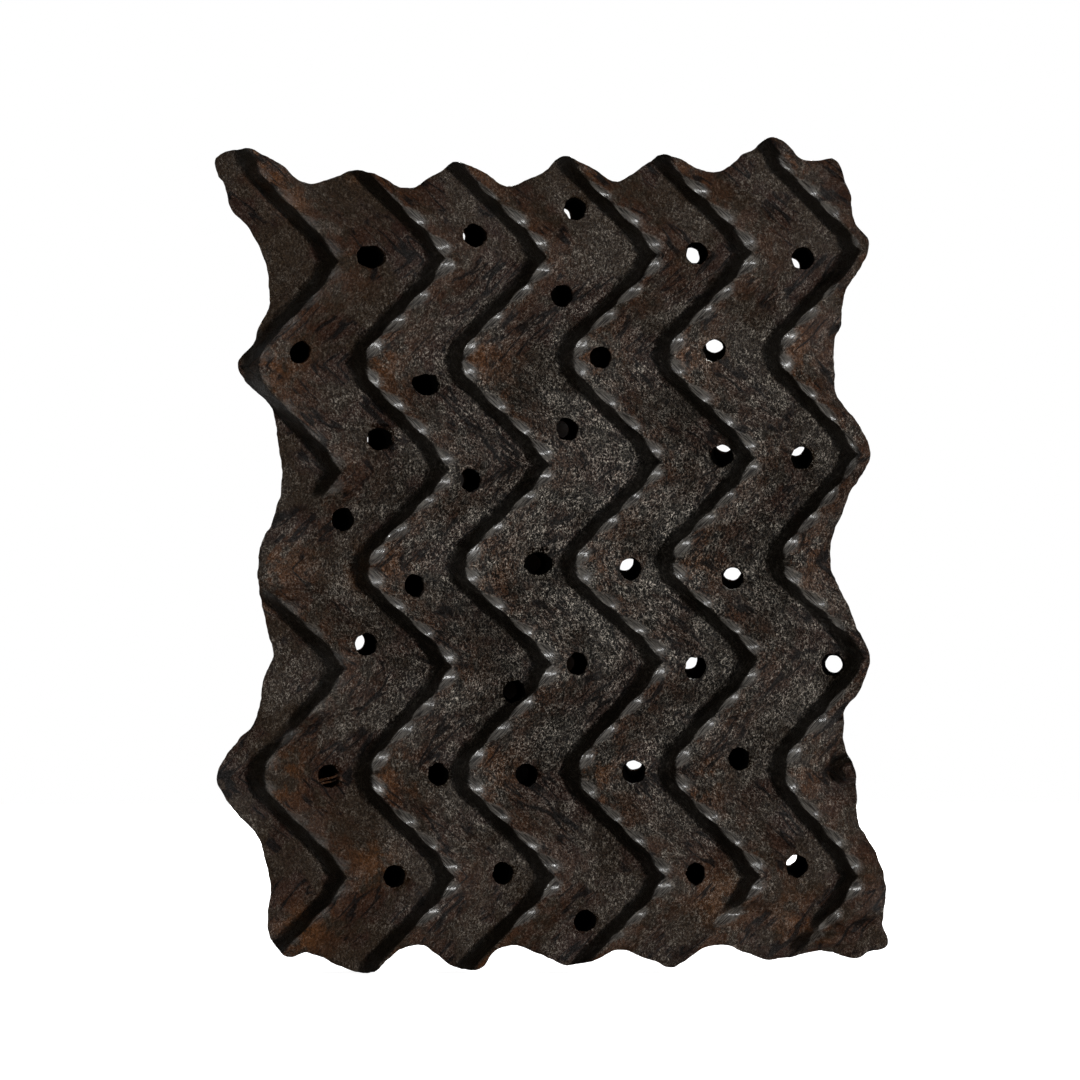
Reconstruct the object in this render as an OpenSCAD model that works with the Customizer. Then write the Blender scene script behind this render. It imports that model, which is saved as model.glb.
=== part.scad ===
// Wooden textile printing block: a thick plank carved with zigzag ridges on its printing
// face, drilled with air holes between them, and a bridge handle nailed to its back.
// It stands upright: X runs across the face, +Z is up and the printing face looks along -Y.

/* [Zigzag ridges] */
// Distance across from one ridge to the next
pitch = 28.4; // [24:0.2:34]
// Height from one row of turns to the next
turn_rise = 28.4; // [24:0.2:34]
// How far right of the left turns the right turns lie
swing = 27.8; // [20:0.2:30]
// Height of the ridges above the carved ground
ridge_h = 7; // [4:0.5:12]
// Width of the flat printing crest, square to the ridge
crest_w = 2.2; // [1:0.1:4]
// Lean of the steep left wall away from upright, in degrees
wall_draft = 9; // [2:1:20]
// Width of the gouge bevel between the steep wall and the crest
bevel_w = 1.6; // [0.4:0.1:2.5]
// Height of that bevel
bevel_h = 1.8; // [0.4:0.1:2.5]
// Width of the gouged slope on the right of the crest
slope_w = 9; // [4:0.5:11]
// Height of the hollow part way down that slope
slope_hollow_h = 2.8; // [0.5:0.1:3]
// Stretch of each leg that rounds off at a turn
turn_round = 3; // [1:0.5:6]

/* [Plank] */
// Thickness of the plank from its back to the carved ground
board_t = 28; // [22:1:45]
// Height of the lowest row of turns above the lowest knob of the bottom edge
low_row_h = 26.4; // [20:0.2:34]
// How far the top left corner reaches past the first ridge
corner_reach = 9.5; // [4:0.5:14]
// Radius of the knobs along the edge
knob_r = 6; // [2:0.5:9]
// Radius of the scallops between the knobs of the top and bottom edges
scallop_r = 12; // [4:1:20]
// Radius of the wide bays in the two long edges
bay_r = 30; // [10:1:45]

/* [Air holes] */
// Diameter of the hand-drilled air holes
air_hole_d = 5; // [3:0.1:7]

/* [Handle] */
// Length of the handle along the plank
handle_l = 170; // [150:1:180]
// How far the middle of the handle lies below the middle of the plank
handle_drop = 5; // [-10:1:10]
// How far left of the middle of the face the handle lies
handle_left = 4; // [-15:1:15]
// Reach of the handle behind the plank
handle_rise = 42; // [34:1:60]
// Thickness of the nailed feet
foot_t = 14; // [8:0.5:20]
// Length of each foot's flat tread, where the nails go in
foot_l = 34; // [26:1:44]
// Width of the feet
foot_w = 52; // [44:1:70]
// Width of the grip at its waist
grip_w = 38; // [26:1:40]
// Thickness of the grip
grip_t = 19; // [12:0.5:26]
// Run along the plank over which a leg climbs from its foot to the grip
leg_run = 16; // [10:1:22]
// Thickness of a leg where it leaves the plank, past the foot's tread
leg_t = 7; // [4:0.5:10]
// Radius of the grip's outer edges
grip_edge_r = 9; // [3:0.5:12]

/* [Nails] */
// Diameter of a nail's shank
nail_d = 4; // [2.5:0.1:5]
// Length of a nail under its head
nail_l = 34; // [24:1:40]
// Length of the nail's point
nail_point_l = 7; // [3:0.5:10]
// Diameter of the forged head
nail_head_d = 10; // [7:0.5:14]
// Thickness of the forged head
nail_head_t = 2.4; // [1.5:0.1:4]
// Distance from a nail to the side of its foot
nail_inset = 10; // [8:0.5:16]
// How far the two nails of a foot are staggered along the grain
nail_stagger = 14; // [0:1:18]
// Clearance round a nail in its hole
nail_fit = 0.05; // [0.02:0.01:0.2]

/* [Hidden] */
$fn = 32;

// Hand of the carver: how far each ridge's left turns and right turns stray across
left_stray = [-0.5, 0.5, -1.5, 0.5, -1.5, 0.5];
right_stray = [-0.5, 0.5, -0.5, 1.5, -1, 0.5];
// Rows of turns, counted from the top edge: height error, and climb from ridge to ridge
row_stray = [0, 0, 0, 0, 0, 2, 0, 0, 0];
row_climb = [0.5, 0.6, 0.8, 1, 0.5, 0.6, 0.4, 0, 0];
ridges = len(left_stray);
last_ridge = ridges - 1;
last_row = len(row_stray) - 1;

function is_right(row) = row % 2 == 1;
function turn_x(ridge, row) =
    (ridge - last_ridge / 2) * pitch + (is_right(row) ? swing / 2 + right_stray[ridge]
                                                      : -swing / 2 + left_stray[ridge]);
function turn_y(ridge, row) =
    low_row_h + (last_row - 1 - row) * turn_rise + row_stray[row]
    + (ridge - last_ridge / 2) * row_climb[row];
function turn(ridge, row) = [turn_x(ridge, row), turn_y(ridge, row)];

// Stub of one more ridge at the right edge: its row, place, sizes, and the rim beyond it
stub_row = 6;
stub_x = 22.5;
stub_d = 8;
stub_top_d = 5;
stub_edge = 2;

// Outline of the plank. It follows the outermost ridges: knobs at the ridge ends and turns,
// hollows between them. Each point is [x, y, radius].
// Top edge: each knob right of and above the turn it sits on, and the hollow right of it
top_knob_x = 1;
top_knob_h = [3, -4.5, -0.5, 0, 0, 4.5];
top_hollow_h = [-9.5, -12, -13, -11, -9, -6];
// Bottom edge: each knob from the left turn that the edge cuts off, its height, and the
// height of the hollow right of it
low_knob_x = [12, 4, 5.5, 3.5, 4, 1];
low_knob_h = [4.5, 0, 0.5, 2, 0, 3.5];
low_hollow_h = [6, 9, 10, 9, 10, 7];
// Left and right edges, row by row: reach out from the outer ridge's turn to the edge, and up
left_reach = [[17.5, -6], [2, 0], [14.5, 3], [-4, 0], [20, 2], [8, 0], [17.5, -2]];
right_reach = [[0.5, 0], [16.5, 1], [1.5, 0], [14.5, 1], [1.5, 0], [20.5, 12], [5.5, -2]];
// Share of the pitch at which the top and bottom hollows lie
hollow_share = 0.57;
// Corners of the plank, from the outer ridge's nearest turn
top_left_corner = [0, -0.5];
top_right_corner = [19, -2];
top_right_waist = [-4, 7];
low_right_corner = [4.5, -18.5];
low_right_heel = [-3, -22.5];
low_left_corner = [-21, -15];

function with_radius(p, r) = [p[0], p[1], r];
top_edge = [
    with_radius(turn(0, 0) + top_left_corner - [corner_reach, 0], knob_r),
    for (i = [0:last_ridge]) each [
        with_radius(turn(i, 0) + [top_knob_x, top_knob_h[i]], knob_r),
        with_radius(turn(i, 0) + [hollow_share * pitch, top_hollow_h[i]], scallop_r)
    ],
    with_radius(turn(last_ridge, 0) + top_right_corner, knob_r),
    with_radius(turn(last_ridge, 1) + top_right_waist, bay_r)
];
right_edge = [
    for (j = [1:last_row - 1]) each [
        with_radius(turn(last_ridge, j) + right_reach[j - 1], is_right(j) ? knob_r : bay_r),
        if (j == stub_row) with_radius(turn(last_ridge, j) + [stub_x + stub_edge, 0], stub_d / 2)
    ],
    with_radius(turn(last_ridge, last_row - 1) + low_right_corner, knob_r),
    with_radius(turn(last_ridge, last_row - 1) + low_right_heel, knob_r)
];
low_edge = [
    for (k = [0:last_ridge]) let (i = last_ridge - k) each [
        [turn_x(i, last_row) + hollow_share * pitch, low_hollow_h[i], scallop_r],
        [turn_x(i, last_row) + low_knob_x[i], low_knob_h[i], knob_r]
    ],
    with_radius(turn(0, last_row - 1) + low_left_corner, knob_r)
];
left_edge = [
    for (k = [1:last_row - 1]) let (j = last_row - k)
        let (reach = left_reach[j - 1])
        with_radius(turn(0, j) + [-reach[0], reach[1]], is_right(j) ? bay_r : knob_r)
];

// Rounds every corner of a closed outline of [x, y, radius] points with a quadratic curve,
// which takes at most a set share of the shorter side next to it
corner_steps = 5;
corner_share = 0.48;
function unit(v) = v / norm(v);
function xy(p) = [p[0], p[1]];
function rounded(pts) = [
    for (k = [0:len(pts) - 1])
        let (
            p = xy(pts[k]),
            back = xy(pts[(k + len(pts) - 1) % len(pts)]) - p,
            ahead = xy(pts[(k + 1) % len(pts)]) - p,
            bend = 180 - acos(unit(back) * unit(ahead)),
            trim = min(pts[k][2] * tan(bend / 2), corner_share * min(norm(back), norm(ahead))),
            from = p + unit(back) * trim,
            to = p + unit(ahead) * trim
        )
        each trim == 0 ? [p] : [
            for (s = [0:corner_steps])
                let (t = s / corner_steps)
                (1 - t) * (1 - t) * from + 2 * t * (1 - t) * p + t * t * to
        ]
];
outline = rounded(concat(top_edge, right_edge, low_edge, left_edge));

out_x = [for (p = outline) p[0]];
out_y = [for (p = outline) p[1]];
plank_w = max(out_x) - min(out_x);
plank_h = max(out_y) - min(out_y);
crest_z = board_t + ridge_h;

// Sets the model upright with its origin at the middle of its foot: the plank is drawn flat,
// with its back at z = 0 and the printing face up
module stand() {
    translate([-(max(out_x) + min(out_x)) / 2, (crest_z - handle_rise) / 2, -min(out_y)])
        rotate([90, 0, 0]) children();
}

// Ridge crest as a path from the top edge to the bottom edge. Points are [x, y, row].
overrun = 8;
leg_samples = [0.25, 0.5, 0.75];
function leg_share(ridge, row) = turn_round / norm(turn(ridge, row + 1) - turn(ridge, row));
function on_leg(ridge, s) =
    let (row = min(floor(s), last_row - 1), t = s - row)
    turn(ridge, row) * (1 - t) + turn(ridge, row + 1) * t;
function bend_at(ridge, row) =
    let (t = leg_share(ridge, row - 1), u = leg_share(ridge, row))
    (on_leg(ridge, row - t) + 2 * turn(ridge, row) + on_leg(ridge, row + u)) / 4;
function crest(ridge) = [
    with_radius(turn(ridge, 0) + [0, overrun], 0),
    with_radius(turn(ridge, 0), 0),
    for (row = [0:last_row - 1]) let (e = leg_share(ridge, row)) each [
        if (row > 0) with_radius(bend_at(ridge, row), row),
        for (t = [e, each leg_samples, 1 - e]) with_radius(on_leg(ridge, row + t), row + t)
    ],
    with_radius(turn(ridge, last_row), last_row),
    with_radius(turn(ridge, last_row) - [0, overrun], last_row)
];

// Stretches where a ridge is worn or broken: [ridge, from row, to row, share of height left]
worn = [
    [0, 3.2, 4.3, 0.15],
    [0, 5.4, 5.8, 0.45],
    [4, 7.2, 9, 0.35],
    [5, 7.4, 9, 0.15],
    [5, 4.2, 4.8, 0.8]
];
function height_left(ridge, row) =
    min([1, for (w = worn) if (w[0] == ridge && row > w[1] && row < w[2]) w[3]]);

// Section of a ridge, square to it, from the foot of its steep wall to the foot of its slope
sunk = 1;
hollow_at = 0.4;
function section(left) =
    let (
        wall_h = (ridge_h - bevel_h) * left,
        crest_end = bevel_w + crest_w
    ) [
        [-(wall_h + sunk) * tan(wall_draft), -sunk],
        [0, wall_h],
        [bevel_w, ridge_h * left],
        [crest_end, ridge_h * left],
        [crest_end + hollow_at * slope_w, slope_hollow_h * left],
        [crest_end + slope_w, 0],
        [crest_end + slope_w, -sunk]
    ];
// The section is laid level across the ridge, so it is wider there than square to the leg
mitre = norm([swing, turn_rise]) / turn_rise;

module ridge(i) {
    path = crest(i);
    rings = len(path);
    sides = len(section(1));
    points = [
        for (p = path)
            for (q = section(height_left(i, p[2])))
                [p[0] + q[0] * mitre, p[1], board_t + q[1]]
    ];
    walls = [
        for (r = [0:rings - 2])
            for (k = [0:sides - 1])
                let (n = (k + 1) % sides)
                each [
                    [r * sides + k, r * sides + n, (r + 1) * sides + n],
                    [r * sides + k, (r + 1) * sides + n, (r + 1) * sides + k]
                ]
    ];
    top_end = [for (k = [0:sides - 1]) sides - 1 - k];
    low_end = [for (k = [0:sides - 1]) (rings - 1) * sides + k];
    polyhedron(points, concat(walls, [top_end, low_end]));
}

// Stub of a further ridge, all but cut off at the right edge
module stub() {
    translate([turn_x(last_ridge, stub_row) + stub_x, turn_y(last_ridge, stub_row), board_t - sunk])
        cylinder(d1 = stub_d, d2 = stub_top_d, h = ridge_h);
}

// Air holes: one in each channel beside every turn, drilled by eye.
// Each is [across, up] from the middle of the channel, then [across, up] lean of its back end.
air_holes = [
    [[-8, 0, -4, 0], [0.5, 3.5, -4, 1], [-5, 8.5, -4, 0], [11, 14, -4, -1],
     [-8.5, 6.5, 0, 0], [8, -0.5, -4, 0], [-1, 1, -4, 1]],
    [[-8, 5.5, -2, 0], [6.5, -6.5, -4, 0], [-9, -4, -2, 0], [3.5, -4.5, -4, 1],
     [3.5, -7, 0, 0], [11, 0.5, -4, 0], [0.5, 1, 0, 0]],
    [[-9.5, 12, -1, -1], [15.5, 16.5, -1, 0], [-11, 9, 0, 0], [9, 0.5, 0, 0],
     [-8.5, 0, -1, 0], [6, 0.5, 0, 0], [-6.5, -11, 0, 2]],
    [[-4, -1, 0.5, -1], [-2.5, -1, 0, 0], [3.5, 1, 1, 2], [6, -1, 0, 2],
     [-4, -2, 0, 1.5], [7, 0, 1, 2.5], [-4.5, 0.5, -4, 0]],
    [[-2, -3, -2, -2], [1.5, 1, 0.5, 1.5], [-2.5, -1, 0, 2], [6.5, -4, 0.5, 2],
     [6, -1.5, 2, 0], [7, 3.5, -4, 0], [-4, 3.5, 0, 2]]
];
past = 1;
module air_hole(channel, row) {
    h = air_holes[channel][row - 1];
    middle = (turn(channel, row) + turn(channel + 1, row)) / 2;
    mouth = [middle[0] + h[0], middle[1] + h[1], board_t];
    run = [h[2], h[3], -board_t];
    depth = norm(run);
    translate(mouth)
        rotate([0, acos(run[2] / depth), atan2(run[1], run[0])])
            translate([0, 0, -ridge_h - past])
                cylinder(d = air_hole_d, h = depth + ridge_h + 2 * past);
}

// Nail places on the plank's back: upper left, upper right, lower left, lower right
handle_x = (max(out_x) + min(out_x)) / 2 - handle_left;
handle_mid_h = (max(out_y) + min(out_y)) / 2 - handle_drop;
foot_mid = (handle_l - foot_l) / 2;
nail_places = [
    for (up = [1, -1])
        for (side = [-1, 1])
            [handle_x + side * (foot_w / 2 - nail_inset),
             handle_mid_h + up * foot_mid + side * nail_stagger / 2]
];
nail_hole_d = nail_d + 2 * nail_fit;
tip_room = 1;
module nail_hole(k, depth) {
    translate([nail_places[k][0], nail_places[k][1], -foot_t - past])
        cylinder(d = nail_hole_d, h = depth + past);
}

slab_margin = 10;
module zigzag_block() {
    color("#33291f") stand() difference() {
        intersection() {
            translate([0, 0, -past]) linear_extrude(crest_z + 2 * past) polygon(outline);
            union() {
                translate([min(out_x) - slab_margin, min(out_y) - slab_margin, 0])
                    cube([plank_w + 2 * slab_margin, plank_h + 2 * slab_margin, board_t]);
                for (i = [0:last_ridge]) ridge(i);
                stub();
            }
        }
        for (c = [0:last_ridge - 1])
            for (row = [1:last_row - 1]) air_hole(c, row);
        for (k = [0:3]) nail_hole(k, nail_l + tip_room);
    }
}

// Handle: one billet sawn to its side view, then to its plan, with the grip rounded over
foot_edge_r = 3;
shoulder_r = 12;
gap_r = 14;
gap_l = handle_l - 2 * foot_l - 2 * leg_t;
grip_l = handle_l - 2 * foot_l - 2 * leg_run;
side_view = rounded([
    [-handle_l / 2, 0, 0],
    [-handle_l / 2, -foot_t, foot_edge_r],
    [-handle_l / 2 + foot_l, -foot_t, shoulder_r],
    [-grip_l / 2, -handle_rise, shoulder_r],
    [grip_l / 2, -handle_rise, shoulder_r],
    [handle_l / 2 - foot_l, -foot_t, shoulder_r],
    [handle_l / 2, -foot_t, foot_edge_r],
    [handle_l / 2, 0, 0],
    [gap_l / 2, 0, 0],
    [grip_l / 2, grip_t - handle_rise, gap_r],
    [-grip_l / 2, grip_t - handle_rise, gap_r],
    [-gap_l / 2, 0, 0]
]);
foot_corner_r = 8;
plan_view = rounded([
    [-foot_w / 2, -handle_l / 2, foot_corner_r],
    [foot_w / 2, -handle_l / 2, foot_corner_r],
    [foot_w / 2, foot_l - handle_l / 2, shoulder_r],
    [grip_w / 2, -grip_l / 2, bay_r],
    [grip_w / 2, grip_l / 2, bay_r],
    [foot_w / 2, handle_l / 2 - foot_l, shoulder_r],
    [foot_w / 2, handle_l / 2, foot_corner_r],
    [-foot_w / 2, handle_l / 2, foot_corner_r],
    [-foot_w / 2, handle_l / 2 - foot_l, shoulder_r],
    [-grip_w / 2, grip_l / 2, bay_r],
    [-grip_w / 2, -grip_l / 2, bay_r],
    [-foot_w / 2, foot_l - handle_l / 2, shoulder_r]
]);
end_view = rounded([
    [-foot_w / 2 - past, past, 0],
    [-foot_w / 2 - past, -foot_t - past, 0],
    [-grip_w / 2, -handle_rise, grip_edge_r],
    [grip_w / 2, -handle_rise, grip_edge_r],
    [foot_w / 2 + past, -foot_t - past, 0],
    [foot_w / 2 + past, past, 0]
]);
module bridge_handle() {
    color("#4a3524") stand() difference() {
        translate([handle_x, handle_mid_h, 0]) intersection() {
            rotate([90, 0, 90]) linear_extrude(foot_w + 2 * past, center = true) polygon(side_view);
            translate([0, 0, -handle_rise - past]) linear_extrude(handle_rise + 2 * past)
                polygon(plan_view);
            rotate([90, 0, 0]) linear_extrude(handle_l + 2 * past, center = true) polygon(end_view);
        }
        for (k = [0:3]) nail_hole(k, foot_t + 2 * past);
    }
}

// Forged nail, turned from its half section, driven from the handle into the plank
nail_tip_r = 0.4;
nail_peak_r = 1.5;
nail_rim_t = 0.8;
module nail(k) {
    color("#4b4440") stand()
        translate([nail_places[k][0], nail_places[k][1], -foot_t])
            rotate_extrude() polygon([
                [0, nail_l],
                [nail_tip_r, nail_l],
                [nail_d / 2, nail_l - nail_point_l],
                [nail_d / 2, 0],
                [nail_head_d / 2, 0],
                [nail_head_d / 2, -nail_rim_t],
                [nail_peak_r, -nail_head_t],
                [0, -nail_head_t]
            ]);
}

zigzag_block();
bridge_handle();
nail(0);  // nail_upper_left
nail(1);  // nail_upper_right
nail(2);  // nail_lower_left
nail(3);  // nail_lower_right
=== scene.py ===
import math

import bpy
import numpy as np
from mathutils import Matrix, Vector, kdtree, noise


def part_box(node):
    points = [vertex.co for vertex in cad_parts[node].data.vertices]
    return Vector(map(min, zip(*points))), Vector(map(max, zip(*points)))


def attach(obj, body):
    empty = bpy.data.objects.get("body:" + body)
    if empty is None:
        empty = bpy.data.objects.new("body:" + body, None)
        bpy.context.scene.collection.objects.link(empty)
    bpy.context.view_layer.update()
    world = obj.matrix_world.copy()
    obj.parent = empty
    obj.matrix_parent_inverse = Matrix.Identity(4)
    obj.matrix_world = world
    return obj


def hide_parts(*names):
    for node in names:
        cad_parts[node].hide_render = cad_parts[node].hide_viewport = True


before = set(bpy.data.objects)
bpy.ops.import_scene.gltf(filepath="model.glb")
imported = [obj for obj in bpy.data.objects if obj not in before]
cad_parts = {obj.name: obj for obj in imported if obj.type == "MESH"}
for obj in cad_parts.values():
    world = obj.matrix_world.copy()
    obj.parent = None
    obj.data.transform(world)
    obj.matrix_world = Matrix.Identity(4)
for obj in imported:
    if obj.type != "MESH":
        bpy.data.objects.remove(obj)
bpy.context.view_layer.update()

# Carved plank: one thick board of close-grained hardwood, black with old dye. Its zigzag ridges
# are cut into the face with a knife and a gouge, the air holes between them are drilled by eye,
# and the rim is trimmed to follow the outermost ridges. All sizes here are in millimetres.
MM = 0.001
pitch = 28.4
turn_rise = 28.4
swing = 27.8
ridge_h = 7
board_t = 28
low_row_h = 26.4
left_stray = [-0.5, 0.5, -1.5, 0.5, -1.5, 0.5]
right_stray = [-0.5, 0.5, -0.5, 1.5, -1, 0.5]
row_stray = [0, 0, 0, 0, 0, 2, 0, 0, 0]
row_climb = [0.5, 0.6, 0.8, 1, 0.5, 0.6, 0.4, 0, 0]
drift = [0.38, 0.13]
drift_row = 3.2
last_ridge_in = [0, 0, 0, 1.8, 0, 0.4, 0, 3.2, 0]
ridges = len(left_stray)
middle_ridge = (ridges - 1) / 2
last_row = len(row_stray) - 1
leg_l = math.hypot(swing, turn_rise)
mitre = leg_l / turn_rise


def set_out(ridge, row):
    """Place across and up the face of a point counted in ridges and rows, which may be fractions."""
    ridge, row = np.broadcast_arrays(np.asarray(ridge, float), np.asarray(row, float))
    to_right = np.where(row < 0, 0, 1 - np.abs(row % 2 - 1))
    every_ridge = np.arange(ridges)
    every_row = np.arange(last_row + 1)
    left = np.interp(ridge, every_ridge, left_stray) - swing / 2
    right = np.interp(ridge, every_ridge, right_stray) + swing / 2
    across = (ridge - middle_ridge) * pitch + left + (right - left) * to_right
    climb = np.interp(row, every_row, row_climb)
    up = low_row_h + (last_row - 1 - row) * turn_rise + np.interp(row, every_row, row_stray)
    return across, up + (ridge - middle_ridge) * climb


def on_face(ridge, row):
    """The same place as it was carved: the rows drift, and some of the last ridge's turns fall short."""
    across, up = set_out(ridge, row)
    on_last = np.clip(np.subtract(ridge, ridges - 2), 0, 1)
    short = np.interp(row, np.arange(last_row + 1), last_ridge_in) * on_last
    down = row - drift_row
    return across + drift[0] * down - short, up + drift[1] * down


def on_pattern(across, up):
    """The ridge and the row, as on_face counts them, of a place on the face."""
    ridge = np.full_like(across, middle_ridge)
    row = np.full_like(across, last_row / 2)
    for _ in range(8):
        row = row + (on_face(ridge, row)[1] - up) / turn_rise
        ridge = ridge + (across - on_face(ridge, row)[0]) / pitch
    return ridge, row


def turn(ridge, row, away=(0, 0)):
    """Place of one turn as it was set out, moved by away."""
    across, up = set_out(ridge, row)
    return [float(across) + away[0], float(up) + away[1]]


# The rim's corners, each with the radius that it is trimmed to
knob_r = 6
scallop_r = 12
bay_r = 30
hollow_share = 0.57
top_knob = [3, -4.5, -0.5, 0, 0, 4.5]
top_hollow_x = [16.2, 16.2, 16.2, 16.2, 16.2, 12.5]
top_hollow = [-9.5, -12, -13, -11, -9, -4.5]
low_knob_x = [12, 4, 5.5, 3.5, 4, 1]
low_knob = [4.5, 0, 0.5, 2, 0, 3.5]
low_hollow = [6, 9, 10, 9, 10, 7]
left_reach = [[-17.5, -6], [-2, 0], [-14.5, 3], [4, 0], [-20, 2], [-8, 0], [-17.5, -2]]
right_reach = [[0.5, 0], [16.5, 1], [1.5, 0], [14.5, 1], [1.5, 0], [20.5, 12], [5.5, -2]]
stub_row = 6
stub_x = 22.5
stub_rim = 2

corners = [(turn(0, 0, (-9.5, -0.5)), knob_r)]
for i in range(ridges):
    corners.append((turn(i, 0, (1, top_knob[i])), knob_r))
    corners.append((turn(i, 0, (top_hollow_x[i], top_hollow[i])), scallop_r))
corners.append((turn(ridges - 1, 0, (20.5, -2)), knob_r))
corners.append((turn(ridges - 1, 1, (-4, 7)), bay_r))
for row in range(1, last_row):
    corners.append((turn(ridges - 1, row, right_reach[row - 1]), knob_r if row % 2 else bay_r))
    if row == stub_row:
        corners.append((turn(ridges - 1, row, (stub_x + stub_rim, 0)), knob_r))
corners.append((turn(ridges - 1, last_row - 1, (4.5, -18.5)), knob_r))
corners.append((turn(ridges - 1, last_row - 1, (-3, -22.5)), knob_r))
for i in reversed(range(ridges)):
    low_x = turn(i, last_row)[0]
    corners.append(([low_x + hollow_share * pitch, low_hollow[i]], scallop_r))
    corners.append(([low_x + low_knob_x[i], low_knob[i]], knob_r))
corners.append((turn(0, last_row - 1, (-21, -15)), knob_r))
for row in reversed(range(1, last_row)):
    corners.append((turn(0, row, left_reach[row - 1]), bay_r if row % 2 else knob_r))

# Where the knife left the rim proud or cut it back: across, up, reach and swelling
rim_strays = [
    [-86, 225, 1.6, -1.4], [-74, 221, 6, 1.9], [-48, 218, 7, 1.6], [-31, 220, 3.5, -1.4],
    [-18, 220, 6, 2.2], [-3, 221, 3.5, -1.4], [12, 220, 4.5, 1.1], [26, 224, 3, -0.8],
    [37, 221, 4.5, 0.8], [55, 227, 3.5, -1.1], [67, 224, 2.5, -0.8],
    [81, 213, 5, 1.2], [84, 201, 3.5, 1.4], [82, 187, 4.5, -1.6], [77, 178, 2.5, 1.1],
    [80, 159, 6, -2.5], [81, 132, 3, -0.8], [81, 103, 7, 1.4], [85, 78, 4, 0.8],
    [79, 72, 3, -1.1], [85, 42, 7, -2.5], [90, 9, 2.5, 2.2], [29, 3, 4, -1.4],
    [12, 5, 4, 1.6], [-21, 4, 3, 1.4], [-37, 6, 6, -1.4], [-49, 1, 2.5, 1.1],
    [-66, 5, 4.5, -1.1], [-77, 21, 8, 1.6], [-82, 38, 6, -2.2], [-84, 71, 8, -3.3],
    [-80, 88, 4.5, -1.9], [-80, 118, 4, 1.4], [-80, 154, 6.5, -2.7], [-84, 174, 4, -1.4],
    [-80, 182, 3.5, -1.1], [-87, 210, 3.5, 1.6],
]


def lumps(first, second, size, seed):
    """Smooth bumps about that size, from -1 to 1, over two coordinates."""
    points = zip(np.ravel(first) / size, np.ravel(second) / size)
    return np.array([noise.noise((a, b, seed)) for a, b in points]).reshape(np.shape(first))


def outward(outline):
    """The directions that point out of a closed outline, which runs clockwise."""
    ahead = np.roll(outline, -1, axis=0) - np.roll(outline, 1, axis=0)
    return np.column_stack([-ahead[:, 1], ahead[:, 0]]) / np.linalg.norm(ahead, axis=1)[:, None]


def trimmed(corners, step):
    """A closed outline with its corners rounded off, as points a step apart."""
    curve = []
    places = [np.array(place) for place, radius in corners]
    for k, (place, radius) in enumerate(corners):
        here = places[k]
        back = places[k - 1] - here
        ahead = places[(k + 1) % len(places)] - here
        back_l, ahead_l = np.linalg.norm(back), np.linalg.norm(ahead)
        bend = math.pi - math.acos(np.dot(back, ahead) / back_l / ahead_l)
        trim = min(radius * math.tan(bend / 2), 0.48 * min(back_l, ahead_l))
        start, end = here + back / back_l * trim, here + ahead / ahead_l * trim
        for t in np.linspace(0, 1, 9):
            curve.append((1 - t) ** 2 * start + 2 * t * (1 - t) * here + t * t * end)
    curve = np.array(curve + [curve[0]])
    run = np.concatenate([[0], np.cumsum(np.linalg.norm(np.diff(curve, axis=0), axis=1))])
    at = np.linspace(0, run[-1], round(run[-1] / step), endpoint=False)
    return np.column_stack([np.interp(at, run, curve[:, 0]), np.interp(at, run, curve[:, 1])])


rim_step = 0.8
plain_rim = trimmed(corners, rim_step)
rim_run = np.arange(len(plain_rim)) * rim_step
swelling = 0.3 * lumps(rim_run, rim_run, 4.5, 8.8) + 0.17 * lumps(rim_run, rim_run, 1.7, 4.1)
for x, y, reach, swell in rim_strays:
    swelling += swell * np.exp(-((plain_rim[:, 0] - x) ** 2 + (plain_rim[:, 1] - y) ** 2) / reach**2)
rim = plain_rim + outward(plain_rim) * swelling[:, None]
block_low, block_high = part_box("zigzag_block")
rim_low = plain_rim.min(axis=0)


def in_place(across, up, out):
    """Points of the model, in metres, from places on the face and heights above the back."""
    return np.column_stack([
        block_low.x + (across - rim_low[0]) * MM,
        block_high.y - out * MM,
        block_low.z + (up - rim_low[1]) * MM,
    ])


def on_plank(points):
    """The other way: places across and up the face, and heights above the back."""
    across = (points[:, 0] - block_low.x) / MM + rim_low[0]
    up = (points[:, 2] - block_low.z) / MM + rim_low[1]
    return across, up, (block_high.y - points[:, 1]) / MM


# The gouge takes a row of scoops out of each ridge's edge, and wear takes whole stretches
carver = np.random.default_rng(11)
scoops_per_leg = 4
scoop_mid = np.arange(-2, last_row + 2, 1 / scoops_per_leg) + 0.5 / scoops_per_leg
scoop_mid = scoop_mid + carver.uniform(-0.03, 0.03, (ridges, len(scoop_mid)))
scoop_r = carver.uniform(6.2, 8, scoop_mid.shape)
scoop_half_l = carver.uniform(3, 3.8, scoop_mid.shape)
scoop_half_l[0] *= 0.85
scoop_tilt = math.radians(35)
scoop_turn = math.radians(40)
turn_sharpness = 5
edge_wear = 0.9
tip_round = 2
tip_in = 1.5
worn = [
    [0, 3.15, 4.3, 0.15],
    [0, 5.4, 5.8, 0.45],
    [4, 7.2, 9, 0.35],
    [5, 7.4, 7.62, 0.1],
    [5, 7.62, 9, 0.3],
    [5, 4.2, 4.8, 0.8],
]


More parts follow.
